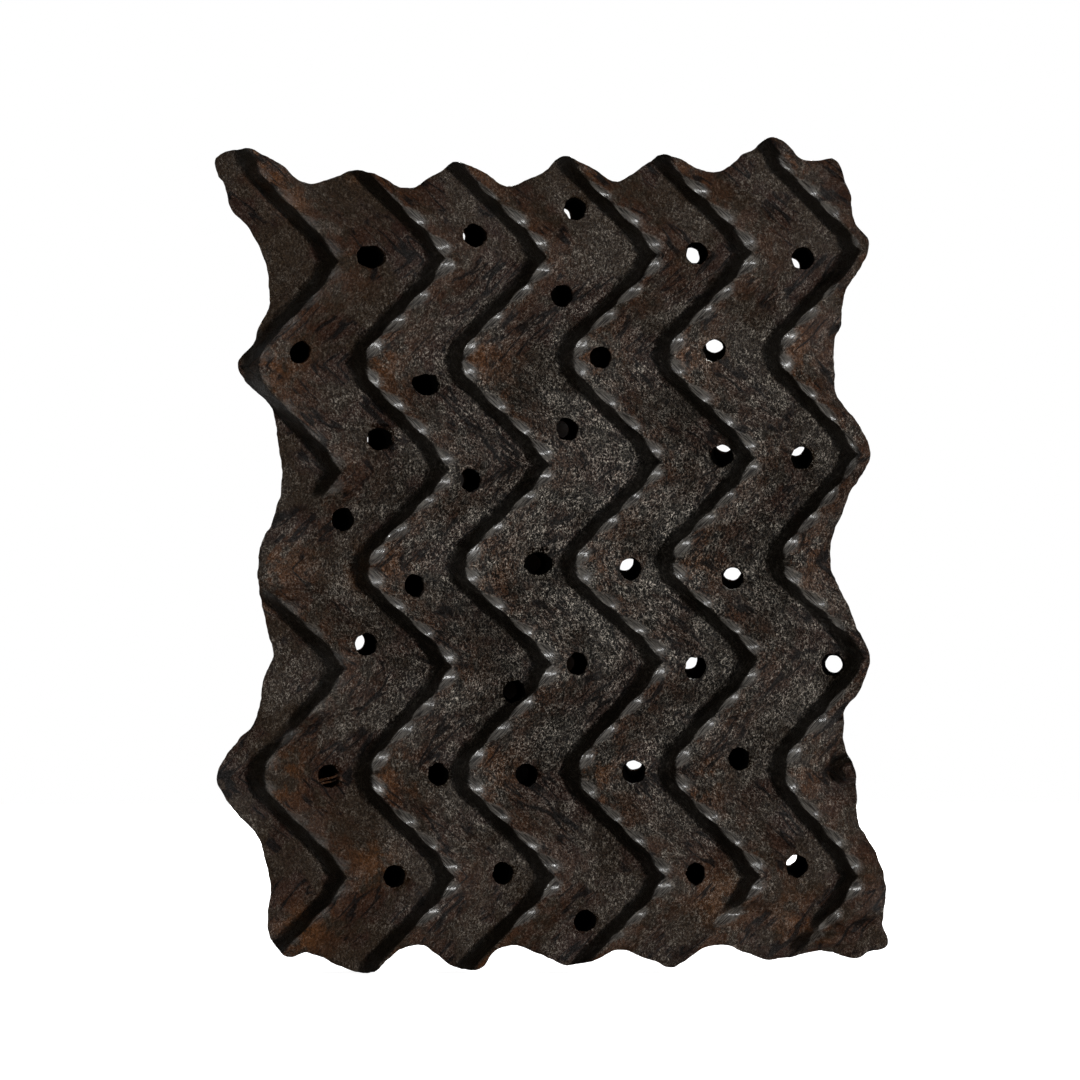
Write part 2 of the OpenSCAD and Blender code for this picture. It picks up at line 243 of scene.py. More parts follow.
def crest_gap(i, across, up, ridge, row):
    """Distance from the edge of ridge i, less than 0 on its steep side."""
    gaps = []
    for leg in (-1, 0, 1):
        top_x, top_y = on_face(i, np.floor(row) + leg)
        low_x, low_y = on_face(i, np.floor(row) + leg + 1)
        run_x, run_y = low_x - top_x, low_y - top_y
        along = ((across - top_x) * run_x + (up - top_y) * run_y) / (run_x**2 + run_y**2)
        along = np.clip(along, 0, 1)
        gaps.append(np.hypot(across - top_x - along * run_x, up - top_y - along * run_y))
    sharp = np.min(gaps, axis=0)
    hollowed = sum((gap + 0.01) ** -turn_sharpness for gap in gaps) ** (-1 / turn_sharpness)
    from_left_turn = np.abs(row - 2 * np.rint(row / 2)) * leg_l
    tip_off = tip_round * np.exp(-((from_left_turn / 4.5) ** 2))
    tip_off = tip_off - tip_in * np.exp(-(((leg_l - from_left_turn) / 5) ** 2))
    return np.where(ridge < i, -sharp, hollowed) - tip_off - edge_wear


rim_tree = kdtree.KDTree(len(rim))
for k, (x, y) in enumerate(rim):
    rim_tree.insert((x, y, 0), k)
rim_tree.balance()


def rim_gap(across, up):
    """Distance from the rim."""
    return np.array([rim_tree.find((x, y, 0))[2] for x, y in zip(across, up)])


def carving(across, up, ridge, row):
    """Height of the carved face above its ground, and the shares of scoop, wall, dye with its painted
    shadow, slope and edge.
    """
    from_rim = rim_gap(across, up)
    height = np.zeros(across.shape)
    scooped = np.zeros(across.shape)
    steep_and_shaded = np.zeros(across.shape)
    dye_and_shadow = np.zeros(across.shape)
    sloped = np.zeros(across.shape)
    sharp = np.zeros(across.shape)
    wall_run = 2.8
    crest_end = 1.8
    slope_w = 10.5
    scoop_slip = 2.3
    dye_and_shadow_fade = 1.2
    stub_r = 4.4
    stub_run = 3
    dye_and_shadow_w = 3.7 + 0.6 * lumps(across, up, 3, 2.9)
    for i in range(ridges):
        near = (ridge > i - 0.6) & (ridge < i + 0.98)
        gap = crest_gap(i, across[near], up[near], ridge[near], row[near])
        rows = row[near]
        left = np.ones(rows.shape)
        for worn_ridge, start, end, share in worn:
            if worn_ridge == i:
                ragged = rows + 0.06 * lumps(rows * leg_l, gap, 3, 7.3)
                inside = np.clip(np.minimum(ragged - start, end - ragged) / 0.16, 0, 1)
                left = np.minimum(left, 1 - (1 - share) * inside)
        top = ridge_h * left * (0.97 - 0.05 * lumps(rows * leg_l, gap, 9, i + 0.5))
        fall = np.clip((gap - crest_end) / slope_w, 0, 1)
        wall = top * np.clip(1 + gap / wall_run, 0, 1) ** 1.35
        uncut = np.where(gap < 0, wall, top * (1 - 3 * fall**2 + 2 * fall**3))
        k = np.clip(np.searchsorted(scoop_mid[i], rows), 1, scoop_mid.shape[1] - 1)
        k = np.where(rows - scoop_mid[i][k - 1] < scoop_mid[i][k] - rows, k - 1, k)
        ball_r = scoop_r[i][k]
        ball_off = np.sqrt(ball_r**2 - scoop_half_l[i][k] ** 2)
        aside = ball_off * math.sin(scoop_tilt)
        to_left = np.where(np.floor(scoop_mid[i][k]) % 2 == 1, 1, -1)
        along = (rows - scoop_mid[i][k]) * leg_l + to_left * scoop_slip
        along = along - to_left * aside * math.sin(scoop_turn)
        under = ball_r**2 - (gap + aside * math.cos(scoop_turn)) ** 2 - along**2
        ball_h = top + ball_off * math.cos(scoop_tilt)
        bowl = np.where(under > 0, ball_h - np.sqrt(np.clip(under, 0, None)), np.inf)
        bowl = np.where(left > 0.3, bowl + np.clip(4 - from_rim[near], 0, None), np.inf)
        high = np.clip(np.minimum(uncut, bowl), 0, None)
        height[near] = np.maximum(height[near], high)
        # The first ridge's scoops and rims count for less: duller, with less painted sheen and highlight
        bright = 0.45 if i == 0 else 1
        facet = np.clip((uncut - bowl - 0.12) / 0.25, 0, 1) * (gap > -2.2)
        scooped[near] = np.maximum(scooped[near], bright * facet)
        # A thin band along each scoop's rim, where a painted highlight goes
        edge = np.exp(-(((uncut - bowl) / 0.22) ** 2)) * (gap > -1.6) * (gap < 3)
        sharp[near] = np.maximum(sharp[near], bright * edge)
        steep_and_shaded[near] = np.maximum(steep_and_shaded[near], np.clip(1 + gap / 3, 0, 1) * (gap <= 0) * left)
        # The dye runs past the wall's foot onto the ground: black dye on the wall, and beyond it a
        # painted shadow where the ridge casts one
        in_dye_and_shadow = np.clip((dye_and_shadow_w[near] + gap) / dye_and_shadow_fade, 0, 1) * (gap <= 0) * left
        dye_and_shadow[near] = np.maximum(dye_and_shadow[near], in_dye_and_shadow)
        sloped[near] = np.maximum(sloped[near], (gap > 0.5) * np.clip(1 - gap / 12, 0, 1))
    stub_at = turn(ridges - 1, stub_row, (stub_x, 0))
    from_stub = np.hypot(across - stub_at[0], up - stub_at[1])
    stub = np.clip((stub_r - from_stub) / stub_run, 0, 1)
    height = np.maximum(height, ridge_h * stub * (2 - stub))
    # The stub's flank away from the key lamp is counted with the walls and dyed black: painted shade
    stub_flank = np.clip(from_stub - 1.8, 0, 1) * np.clip(5.4 - from_stub, 0, 1)
    from_light = 0.8 * (stub_at[0] - across) + 0.6 * (up - stub_at[1])
    steep_and_shaded = np.maximum(steep_and_shaded, stub_flank * np.clip(0.5 + from_light / 2, 0, 1))
    dye_and_shadow = np.maximum(dye_and_shadow, steep_and_shaded)
    return height, scooped, steep_and_shaded, dye_and_shadow, sloped, sharp


def new_grid(name, columns, rows):
    """A flat grid of points, with the column and row of each."""
    bpy.ops.object.select_all(action="DESELECT")
    bpy.ops.mesh.primitive_grid_add(x_subdivisions=columns - 1, y_subdivisions=rows - 1, size=2)
    grid = bpy.context.object
    grid.name = name
    at = points_of(grid)
    column = np.rint((at[:, 0] + 1) / 2 * (columns - 1)).astype(int)
    row = np.rint((at[:, 1] + 1) / 2 * (rows - 1)).astype(int)
    return grid, column, row


def points_of(piece):
    at = np.empty(len(piece.data.vertices) * 3)
    piece.data.vertices.foreach_get("co", at)
    return at.reshape(-1, 3)


def move_points(piece, points):
    piece.data.vertices.foreach_set("co", np.asarray(points).ravel())
    piece.data.update()


def face_outward(piece):
    bpy.context.view_layer.objects.active = piece
    bpy.ops.object.mode_set(mode="EDIT")
    bpy.ops.mesh.select_all(action="SELECT")
    bpy.ops.mesh.normals_make_consistent(inside=False)
    bpy.ops.object.mode_set(mode="OBJECT")


def close_behind(piece, push):
    """Pulls the grid's open border back by push, in metres, and closes it with a face."""
    bpy.ops.object.mode_set(mode="EDIT")
    bpy.ops.mesh.select_mode(type="EDGE")
    bpy.ops.mesh.select_all(action="DESELECT")
    bpy.ops.mesh.select_non_manifold()
    bpy.ops.mesh.extrude_edges_move(TRANSFORM_OT_translate={"value": (0, push, 0)})
    bpy.ops.mesh.edge_face_add()
    bpy.ops.object.mode_set(mode="OBJECT")
    face_outward(piece)


def new_rod(name, sides, rings):
    """A closed round rod of unit radius along Z, with a ring of points at each unit of length."""
    bpy.ops.object.select_all(action="DESELECT")
    bpy.ops.mesh.primitive_circle_add(vertices=sides, radius=1, fill_type="NGON")
    rod = bpy.context.object
    rod.name = name
    bpy.ops.object.mode_set(mode="EDIT")
    for _ in range(rings):
        bpy.ops.mesh.extrude_region_move(TRANSFORM_OT_translate={"value": (0, 0, 1)})
    bpy.ops.object.mode_set(mode="OBJECT")
    return rod


def copied(piece, points):
    """A copy of a piece with its own mesh, moved to new points."""
    copy = piece.copy()
    copy.data = piece.data.copy()
    bpy.context.collection.objects.link(copy)
    move_points(copy, points)
    return copy


def cut(piece, tool, operation):
    """Leaves the part of piece that is in, or not in, the tool, and clears the tool away."""
    boolean = piece.modifiers.new("cut", "BOOLEAN")
    boolean.operation = operation
    boolean.solver = "MANIFOLD"
    boolean.object = tool
    bpy.context.view_layer.objects.active = piece
    bpy.ops.object.modifier_apply(modifier=boolean.name)
    bpy.data.objects.remove(tool)


# The face: a grid whose lines follow the ridges, closer together at their steep walls
over_ridge = np.array([-6.6, -5.2, -4.1, -3.3, -2.7, -2.2, -1.75, -1.35, -1, -0.7, -0.4, -0.15, 0.1,
                       0.35, 0.6, 0.85, 1.1, 1.4, 1.7, 2.1, 2.7, 3.5, 4.5, 5.5, 6.6, 7.8, 9, 10.3, 11.7])
columns = np.concatenate([i + (over_ridge + edge_wear) * mitre / pitch for i in range(-1, ridges + 1)])
columns = columns[(columns > -0.95) & (columns < 6.25)]
row_lines = np.arange(-0.55, 8.36, 0.6 / turn_rise)
plank, column, row_line = new_grid("zigzag_block_carved", len(columns), len(row_lines))
ridge, row = columns[column], row_lines[row_line]
across, up = on_face(ridge, row)
height, _, steep_and_shaded, _, _, _ = carving(across, up, ridge, row)
strokes = lumps(ridge * pitch / mitre / 4, row * leg_l / 24, 1, 3.1)
relief = 0.4 * strokes + 0.26 * lumps(across, up, 6.5, 5.7) + 0.15 * lumps(across, up, 2.4, 9.2)
from_rim = rim_gap(across, up)
rim_round = 1.5 + 0.7 * lumps(across, up, 7, 2.2)
short_of_flat = np.clip(rim_round - from_rim, 0, None)
worn_rim = rim_round - np.sqrt(np.clip(rim_round**2 - short_of_flat**2, 0, None))
out = board_t + height + relief * (1 - 0.6 * steep_and_shaded) - worn_rim
border = (column == 0) | (column == column.max()) | (row_line == 0) | (row_line == row_line.max())
out[border] = board_t
move_points(plank, in_place(across, up, out))
close_behind(plank, (board_t + 20) * MM)

# The back: sawn, and planed nearly flat
back_columns, back_rows = 80, 100
back_cut, column, row_line = new_grid("back_cut", back_columns, back_rows)
across = np.interp(column, [0, back_columns - 1], [rim[:, 0].min() - 8, rim[:, 0].max() + 8])
up = np.interp(row_line, [0, back_rows - 1], [rim[:, 1].min() - 8, rim[:, 1].max() + 8])
hollows = 0.06 + 0.04 * lumps(across / 9, up / 40, 1, 4.4) + 0.015 * lumps(across, up, 11, 6.3)
move_points(back_cut, in_place(across, up, hollows))
close_behind(back_cut, -(board_t + 30) * MM)
cut(plank, back_cut, "INTERSECT")

# The rim: pared with a knife, and undercut a little towards the back
undercut = math.tan(math.radians(4))
rim_levels = 12
rim_cut = new_rod("rim_cut", len(rim), rim_levels)
at = points_of(rim_cut)
k = np.rint(np.arctan2(at[:, 1], at[:, 0]) / (2 * math.pi) * len(rim)).astype(int) % len(rim)
out = np.interp(at[:, 2], [0, rim_levels], [-5, board_t + ridge_h + 5])
paring = 0.25 * lumps(rim_run[k] / 3, out / 22, 1, 1.3) + 0.2 * lumps(rim_run[k], out, 5, 7.9)
inset = np.clip(board_t - out, 0, None) * undercut
edge = rim[k] + outward(plain_rim)[k] * (paring - inset)[:, None]
move_points(rim_cut, in_place(edge[:, 0], edge[:, 1], out))
face_outward(rim_cut)
cut(plank, rim_cut, "INTERSECT")

# The front edge is gone over once more, which takes its teeth off
bpy.ops.object.mode_set(mode="EDIT")
bpy.ops.mesh.select_mode(type="EDGE")
bpy.ops.mesh.select_all(action="DESELECT")
bpy.ops.mesh.edges_select_sharp(sharpness=math.radians(35))
bpy.ops.object.mode_set(mode="OBJECT")
across, up, out = on_plank(points_of(plank))
on_edge = np.empty(len(out), bool)
plank.data.vertices.foreach_get("select", on_edge)
on_edge &= (rim_gap(across, up) < 1.2) & (out > board_t - 3)
on_rim = zip(across[on_edge], up[on_edge])
edge_run = np.array([rim_tree.find((x, y, 0))[1] for x, y in on_rim]) * rim_step
rim_l = len(rim) * rim_step
apart = (edge_run[:, None] - edge_run + rim_l / 2) % rim_l - rim_l / 2
weight = np.exp(-((apart / 1.5) ** 2))
even = weight @ out[on_edge] / weight.sum(axis=1)
out[on_edge] += np.clip(even - out[on_edge], -2, 1)
move_points(plank, in_place(across, up, out))

# The air holes: mouth across and up from the middle of the channel, then the lean of the far end,
# and the mouths that the drill tore wide
hole_d = 5
air_holes = [
    [[-8, 0.7, -6.5, 0], [0.5, 3.5, -4, 1], [-5, 8.5, -4, 0], [12.8, 14, -4, -1],
     [-8.9, 6.5, -1.1, 0.6], [9, 0.4, -4, 0], [-1, 0.7, -4, 1]],
    [[-7.7, 6, -3, 0], [7.4, -6.2, -6, 0], [-9, -3.6, -2, 0], [4, -4.5, -4, 1],
     [3.5, -7, 0, 0], [11, 0.5, -4, 0], [0.3, 1.4, -4, 0]],
    [[-8.7, 12.7, -1.8, -1.6], [16.3, 17.4, -1, 0], [-11, 9.3, 0, 0], [10, 1, 0, 0],
     [-8.5, 0, -1, 0], [6.8, 0, 0, 0], [-6, -11.6, -4, 0]],
    [[-3.5, 0, 0.5, -0.4], [-1.6, -0.3, 0, 0], [3.5, 1, 3, 3.8], [6.8, -1, 0.5, 2],
     [-4, -1.7, 0.4, 1.9], [7.8, 0.5, 2.2, 2.6], [-4.5, 1.4, -4, 0]],
    [[-2.2, -2, -1, -1.8], [1.5, 1, 2.4, 2.1], [-2.5, -0.5, 0.6, 3.2], [6.5, -4, 2.2, 1.8],
     [6, -1.5, 3, 0], [8.2, 3.5, -4, 0], [-4, 3.5, 0, 2]],
]
torn = {(0, 1): 1.8, (0, 3): 0.7, (1, 1): 0.5, (1, 2): 1.2, (2, 4): 1}
hole_levels = [36, 31, 29, 28, 27.2, 26, 23, 18, 12, 6, 1.6, 0, -1]
drill = new_rod("drill", 32, len(hole_levels) - 1)
face_outward(drill)
at = points_of(drill)
angle = np.arctan2(at[:, 1], at[:, 0])
out = np.array(hole_levels)[np.rint(at[:, 2]).astype(int)]
hole_lines = []
drills = []
for channel in range(ridges - 1):
    for row in range(1, last_row):
        over, rise, lean, lift = air_holes[channel][row - 1]
        middle = (np.array(turn(channel, row)) + np.array(turn(channel + 1, row))) / 2
        wide = torn.get((channel, row), 0)
        hole_lines.append((middle[0] + over, middle[1] + rise, lean, lift, wide))
        wobble = lumps(np.cos(angle) * 2 + out / 7, np.sin(angle) * 2, 1, channel * 10 + row)
        chips = lumps(np.cos(angle) * 2.6, np.sin(angle) * 2.6, 1, channel * 10 + row + 0.5)
        mouth = np.clip((out - board_t + 3) / 3, 0, 1)
        radius = hole_d / 2 + 0.2 * wobble + (0.65 + 0.4 * chips) * mouth
        deep = 1 - out / board_t
        drills.append(copied(drill, in_place(
            middle[0] + over + lean * deep + (radius + wide * mouth) * np.cos(angle),
            middle[1] + rise + lift * deep + radius * np.sin(angle),
            out,
        )))
bpy.data.objects.remove(drill)
bpy.ops.object.select_all(action="DESELECT")
for one in drills:
    one.select_set(True)
bpy.context.view_layer.objects.active = drills[0]
bpy.ops.object.join()
face_outward(drills[0])
cut(plank, drills[0], "DIFFERENCE")

# A splinter that the drill left across one of them: where it starts and ends, and its thickness
slivers = [[(-65.6, 52.7), (-58.6, 54.9), 0.5], [(-64.6, 52), (-58.6, 53.8), 0.35]]
sliver_rings = 5
split = new_rod("split", 7, sliver_rings)
face_outward(split)
at = points_of(split)
angle = np.arctan2(at[:, 1], at[:, 0])
part_way = at[:, 2] / sliver_rings
for start, end, thick in slivers:
    run = np.array(end) - np.array(start)
    off = np.array([-run[1], run[0]]) / np.linalg.norm(run)
    radius = thick * (1 - 0.5 * part_way) * np.where(np.hypot(at[:, 0], at[:, 1]) > 0.5, 1, 0)
    aslant = radius * np.cos(angle) + 0.15 * np.sin(7 * part_way)
    sliver = copied(split, in_place(
        start[0] + run[0] * part_way + off[0] * aslant,
        start[1] + run[1] * part_way + off[1] * aslant,
        board_t - 1.6 + thick + radius * np.sin(angle),
    ))
    face_outward(sliver)
    cut(plank, sliver, "UNION")
bpy.data.objects.remove(split)

# What the finish follows: the pattern's own coordinates, and how far each place is scoop,
# dye-filled wall with a painted shadow beside it, worn slope, bare patch (across, up and reach) or the
# inside of a hole
across, up, out = on_plank(points_of(plank))
ridge, row = on_pattern(across, up)
_, scooped, _, dye_and_shadow, sloped, sharp = carving(across, up, ridge, row)
on_front = np.clip((out - board_t + 4) / 2, 0, 1)
bare_patches = [
    [-51, 111, 6], [-49, 31, 6], [-70, 12, 8], [45, 21, 9], [67, 15, 8],
    [-79, 167, 7], [-82, 103, 7], [-78, 219, 5], [-72, 212, 4], [-53, 219, 3],
]
bare = np.zeros(len(out))
for x, y, reach in bare_patches:
    bare = np.maximum(bare, 0.75 * np.exp(-((across - x) ** 2 + (up - y) ** 2) / reach**2))
from_turn = np.abs(row - 2 * np.rint(row / 2)) * turn_rise
bare = np.maximum(bare, 0.85 * sloped * np.exp(-((from_turn / 7) ** 2)))
drilled = np.zeros(len(out))
for x, y, lean, lift, wide in hole_lines:
    deep = 1 - out / board_t
    from_line = np.hypot(across - x - lean * deep, up - y - lift * deep)
    inside = np.clip(np.minimum(board_t + 0.2 - out, (out - 0.6) / 0.8), 0, 1)
    drilled = np.maximum(drilled, (from_line < hole_d / 2 + 1.2 + wide) * inside)
for start, end, thick in slivers:
    run = np.array(end) - np.array(start)
    part_way = ((across - start[0]) * run[0] + (up - start[1]) * run[1]) / np.sum(run**2)
    part_way = np.clip(part_way, 0.02, 0.98)
    beside = np.hypot(across - start[0] - part_way * run[0], up - start[1] - part_way * run[1])
    on_sliver = (beside < thick + 0.2) & (out > board_t - 3) & (drilled > 0)
    drilled = np.where(on_sliver, 0, drilled)
    bare = np.where(on_sliver, 0.5, bare)
shares = {
    "front": on_front,
    "scooped": scooped * on_front,
    "sharp": sharp * on_front,
    "sloped": sloped * on_front,
    "dye_and_shadow": dye_and_shadow * on_front * (1 - scooped),
    "bare": bare * on_front,
    "drilled": drilled,
    "behind": np.clip((5 - out) / 4, 0, 1),
}
for name, share in shares.items():
    attribute = plank.data.attributes.new(name, "FLOAT", "POINT")
    attribute.data.foreach_set("value", share.astype(np.float32))
loop_vertex = np.empty(len(plank.data.loops), int)
plank.data.loops.foreach_get("vertex_index", loop_vertex)
carving_map = plank.data.uv_layers.new(name="carving")
carving_map.data.foreach_set("uv", np.column_stack([ridge, row])[loop_vertex].ravel())


def smooth(piece, degrees):
    bpy.ops.object.select_all(action="DESELECT")
    piece.select_set(True)
    bpy.context.view_layer.objects.active = piece
    bpy.ops.object.shade_smooth_by_angle(angle=math.radians(degrees))


smooth(plank, 38)


def srgb(red, green, blue):
    """A colour as it is seen on a screen, 0 to 255, for a shader."""
    seen = np.array([red, green, blue]) / 255
    linear = np.where(seen <= 0.04045, seen / 12.92, ((seen + 0.055) / 1.055) ** 2.4)
    return (*linear, 1)


def fill(tree, socket, value):
    if isinstance(value, bpy.types.NodeSocket):
        tree.links.new(value, socket)
    else:
        socket.default_value = value


def node(tree, kind, settings=None, **sockets):
    """A new node, with its settings, and its sockets set or linked."""
    made = tree.nodes.new(kind)
    for key, value in (settings or {}).items():
        setattr(made, key, value)
    for key, value in sockets.items():
        fill(tree, made.inputs[key.replace("_", " ")], value)
    return made


def mixed(tree, share, under, over):
    """One colour laid over another by a share."""
    made = node(tree, "ShaderNodeMix", {"data_type": "RGBA"})
    for socket, value in zip((made.inputs[0], made.inputs[6], made.inputs[7]), (share, under, over)):
        fill(tree, socket, value)
    return made.outputs[2]


def maths(tree, way, first, second=0.0):
    made = node(tree, "ShaderNodeMath", {"operation": way})
    fill(tree, made.inputs[0], first)
    fill(tree, made.inputs[1], second)
    return made.outputs[0]


def between(tree, value, low, high, start=0.0, end=1.0):
    """Runs from start to end, smoothly, as the value goes from low to high."""
    made = node(tree, "ShaderNodeMapRange", {"interpolation_type": "SMOOTHSTEP"}, Value=value,
                From_Min=low, From_Max=high, To_Min=start, To_Max=end)
    return made.outputs[0]


def cloud(tree, where, size, detail=4.0, roughness=0.6, stretch=(1, 1, 1), kind="FBM", swirl=0.0):
    """Noise with features about that size, in the units of where, and stretched or swirled if asked."""
    scaled = node(tree, "ShaderNodeMapping", Vector=where, Scale=[1 / size / s for s in stretch])
    return node(tree, "ShaderNodeTexNoise", {"noise_type": kind}, Vector=scaled.outputs[0], Scale=1.0,
                Detail=detail, Roughness=roughness, Distortion=swirl).outputs[0]


def new_material(name):
    """An empty material: its nodes, its shader and its object coordinates."""
    material = bpy.data.materials.new(name)
    material.use_nodes = True
    tree = material.node_tree
    where = node(tree, "ShaderNodeTexCoord").outputs["Object"]
    return material, tree, tree.nodes["Principled BSDF"], where


# Finish: a thin leathery coat of old dye, grey-black where it is thick, red-brown where it is
# rubbed, and orange-brown where wear has gone through it to the wood
dyed_wood, tree, shader, where = new_material("dyed_carved_wood")
pattern = node(tree, "ShaderNodeUVMap", {"uv_map": "carving"}).outputs[0]
stroke = cloud(tree, pattern, 1.0, 4, 0.6, (0.11, 0.75, 1))
slip = cloud(tree, pattern, 1.0, 2, 0.5, (0.2, 0.55, 1))
fibre = cloud(tree, pattern, 1.0, 3, 0.65, (0.012, 0.022, 1))
chatter = cloud(tree, pattern, 1.0, 2, 0.5, (0.014, 0.1, 1))
patch = cloud(tree, where, 0.02, 5, 0.62)
blush = cloud(tree, where, 0.012, 4, 0.55)
rub = cloud(tree, where, 0.006, 7, 0.7)
spot = cloud(tree, where, 0.0034, 4, 0.65)
wrinkle = cloud(tree, where, 0.00095, 2, 0.5, (0.75, 1, 1.25), swirl=0.8)
crease = cloud(tree, where, 0.0042, 4, 0.6, kind="RIDGED_MULTIFRACTAL")
grain = cloud(tree, where, 0.0005, 3, 0.7)
# Middle of a painted sheen, where the painted glints are strongest
painted_sheen_at = (0.016, block_low.y, 0.108)
middle = node(tree, "ShaderNodeVectorMath", {"operation": "DISTANCE"})
tree.links.new(where, middle.inputs[0])
middle.inputs[1].default_value = painted_sheen_at
from_middle = middle.outputs["Value"]
share = {}
for name in shares:
    share[name] = node(tree, "ShaderNodeAttribute", {"attribute_name": name}).outputs["Fac"]

# The coat's colours, lighter and warmer towards the corners, and the wood that shows where it is worn
coat = mixed(tree, between(tree, patch, 0.4, 0.6), srgb(29, 22, 15), srgb(38, 33, 26))
# Lighter and warmer with distance from the middle of the painted sheen
coat = mixed(tree, between(tree, from_middle, 0.03, 0.11, 0, 0.75), coat, srgb(62, 46, 31))
coat = mixed(tree, between(tree, blush, 0.47, 0.58, 0, 0.85), coat, srgb(54, 29, 20))
coat = mixed(tree, between(tree, stroke, 0.48, 0.64, 0, 0.6), coat, srgb(46, 30, 17))
rubbed = maths(tree, "MULTIPLY", between(tree, rub, 0.42, 0.54), share["sloped"])
coat = mixed(tree, maths(tree, "MULTIPLY", rubbed, 0.9), coat, srgb(76, 44, 22))
through = maths(tree, "MULTIPLY", between(tree, rub, 0.42, 0.56), share["bare"])
coat = mixed(tree, maths(tree, "MULTIPLY", through, 0.9), coat, srgb(112, 68, 30))

# It has painted glints along its wrinkles, most in a painted sheen around the middle, and painted shade
# in the pits between them
squiggle = maths(tree, "ABSOLUTE", maths(tree, "SUBTRACT", wrinkle, 0.5))
painted_sheen = between(tree, from_middle, 0, 0.13, 1, 0.25)
painted_glint_share = maths(tree, "MULTIPLY", painted_sheen, between(tree, patch, 0.42, 0.56, 0.45, 1))
painted_glint_share = maths(tree, "MULTIPLY", painted_glint_share, between(tree, spot, 0.42, 0.58, 0.3, 1))
painted_glint_share = maths(tree, "MULTIPLY", painted_glint_share, share["front"])
unrubbed = maths(tree, "SUBTRACT", 1.0, maths(tree, "MULTIPLY", rubbed, 0.4))
painted_glint_share = maths(tree, "MULTIPLY", painted_glint_share, unrubbed)
# Painted glints: near-white marks on the tops of the bump's wrinkles
painted_glint = between(tree, squiggle, 0.008, 0.05, 1, 0)
painted_glint = maths(tree, "MULTIPLY", painted_glint, between(tree, fibre, 0.43, 0.54))
painted_glint = maths(tree, "MULTIPLY", painted_glint, painted_glint_share)
coat = mixed(tree, painted_glint, coat, srgb(248, 237, 220))
# Painted specks of glint
painted_speck = maths(tree, "MULTIPLY", between(tree, grain, 0.55, 0.65, 0, 0.18), painted_glint_share)
coat = mixed(tree, painted_speck, coat, srgb(121, 106, 88))
# Painted shade: near black in the hollows of the bump, darkest in the painted sheen
pit_shade = between(tree, fibre, 0.36, 0.48, 0.95, 0)
pit_shade = maths(tree, "MAXIMUM", pit_shade, between(tree, grain, 0.38, 0.48, 0.8, 0))
pit_shade = maths(tree, "MAXIMUM", pit_shade, between(tree, squiggle, 0.045, 0.11, 0, 0.98))
pit_shade = maths(tree, "MULTIPLY", pit_shade, between(tree, painted_sheen, 0.25, 0.9, 0.55, 1))
coat = mixed(tree, pit_shade, coat, srgb(11, 8, 5))
coat = mixed(tree, between(tree, crease, 0.5, 0.9, 0, 0.6), coat, srgb(12, 10, 8))
knife = maths(tree, "ABSOLUTE", maths(tree, "SUBTRACT", slip, 0.5))
knife = between(tree, knife, 0.012, 0.045, 1, 0)
knife = maths(tree, "MULTIPLY", knife, between(tree, blush, 0.5, 0.56))
coat = mixed(tree, maths(tree, "MULTIPLY", knife, 0.9), coat, srgb(9, 7, 6))

# The scoops are streaked by the gouge and carry a painted sheen, their rims a painted highlight;
# the walls hold the dye with a painted shadow beside them, and the holes are black: dye and painted
# shade
# Gouge streaks on the scoops, painted light grey as a painted sheen
scoop_streaks_and_sheen = mixed(tree, between(tree, chatter, 0.38, 0.62), srgb(32, 29, 26), srgb(96, 92, 86))
coat = mixed(tree, maths(tree, "MULTIPLY", share["scooped"], 0.9), coat, scoop_streaks_and_sheen)
# A painted highlight along the scoops' rims
edge = maths(tree, "MULTIPLY", share["sharp"], between(tree, fibre, 0.42, 0.54))
coat = mixed(tree, maths(tree, "MULTIPLY", edge, 0.6), coat, srgb(140, 134, 127))
# The walls near black with dye, and the ground beside them painted black as a painted shadow
coat = mixed(tree, between(tree, share["dye_and_shadow"], 0.1, 0.8, 0, 0.84), coat, srgb(26, 23, 18))
# Inside the holes painted near black: dye and painted shade
coat = mixed(tree, share["drilled"], coat, srgb(9, 8, 7))

# The back is plain grimy wood, with its grain upright
years = cloud(tree, where, 0.0022, 5, 0.6, (1, 1, 18))
pores = cloud(tree, where, 0.0005, 2, 0.5, (1, 1, 12))
wood = mixed(tree, between(tree, years, 0.38, 0.62), srgb(46, 33, 24), srgb(78, 57, 40))
wood = mixed(tree, between(tree, pores, 0.55, 0.68, 0, 0.6), wood, srgb(28, 20, 15))
wood = mixed(tree, between(tree, patch, 0.46, 0.6, 0, 0.7), wood, srgb(36, 28, 23))
fill(tree, shader.inputs["Base Color"], mixed(tree, share["behind"], coat, wood))

# Gloss and unevenness: the scoops are smooth, the sides and back dull, the holes have no shine
dull = between(tree, grain, 0.45, 0.65, 0.44, 0.3)
dull = maths(tree, "MULTIPLY", dull, between(tree, share["scooped"], 0, 1, 1, 0.6))
dull = maths(tree, "MAXIMUM", dull, between(tree, share["front"], 0, 1, 0.68, 0))
fill(tree, shader.inputs["Roughness"], maths(tree, "MAXIMUM", dull, share["drilled"]))
glitter = between(tree, patch, 0.42, 0.58, 0.12, 0.3)
glitter = maths(tree, "MAXIMUM", share["scooped"], glitter)
glitter = between(tree, share["front"], 0, 1, 0.1, glitter)
lost = maths(tree, "MAXIMUM", share["drilled"], maths(tree, "MULTIPLY", share["dye_and_shadow"], 0.11))
fill(tree, shader.inputs["Specular IOR Level"], maths(tree, "SUBTRACT", glitter, lost))
nick = maths(tree, "SUBTRACT", 0.0, knife)
fold = maths(tree, "SUBTRACT", 0.0, squiggle)
rough = maths(tree, "SUBTRACT", 1.0, share["scooped"])
depths = [
    (spot, 0.002), (fold, 0.0015), (crease, 0.0004),
    (nick, 0.0003), (fibre, 0.0005), (grain, 0.0002),
]
bump = None
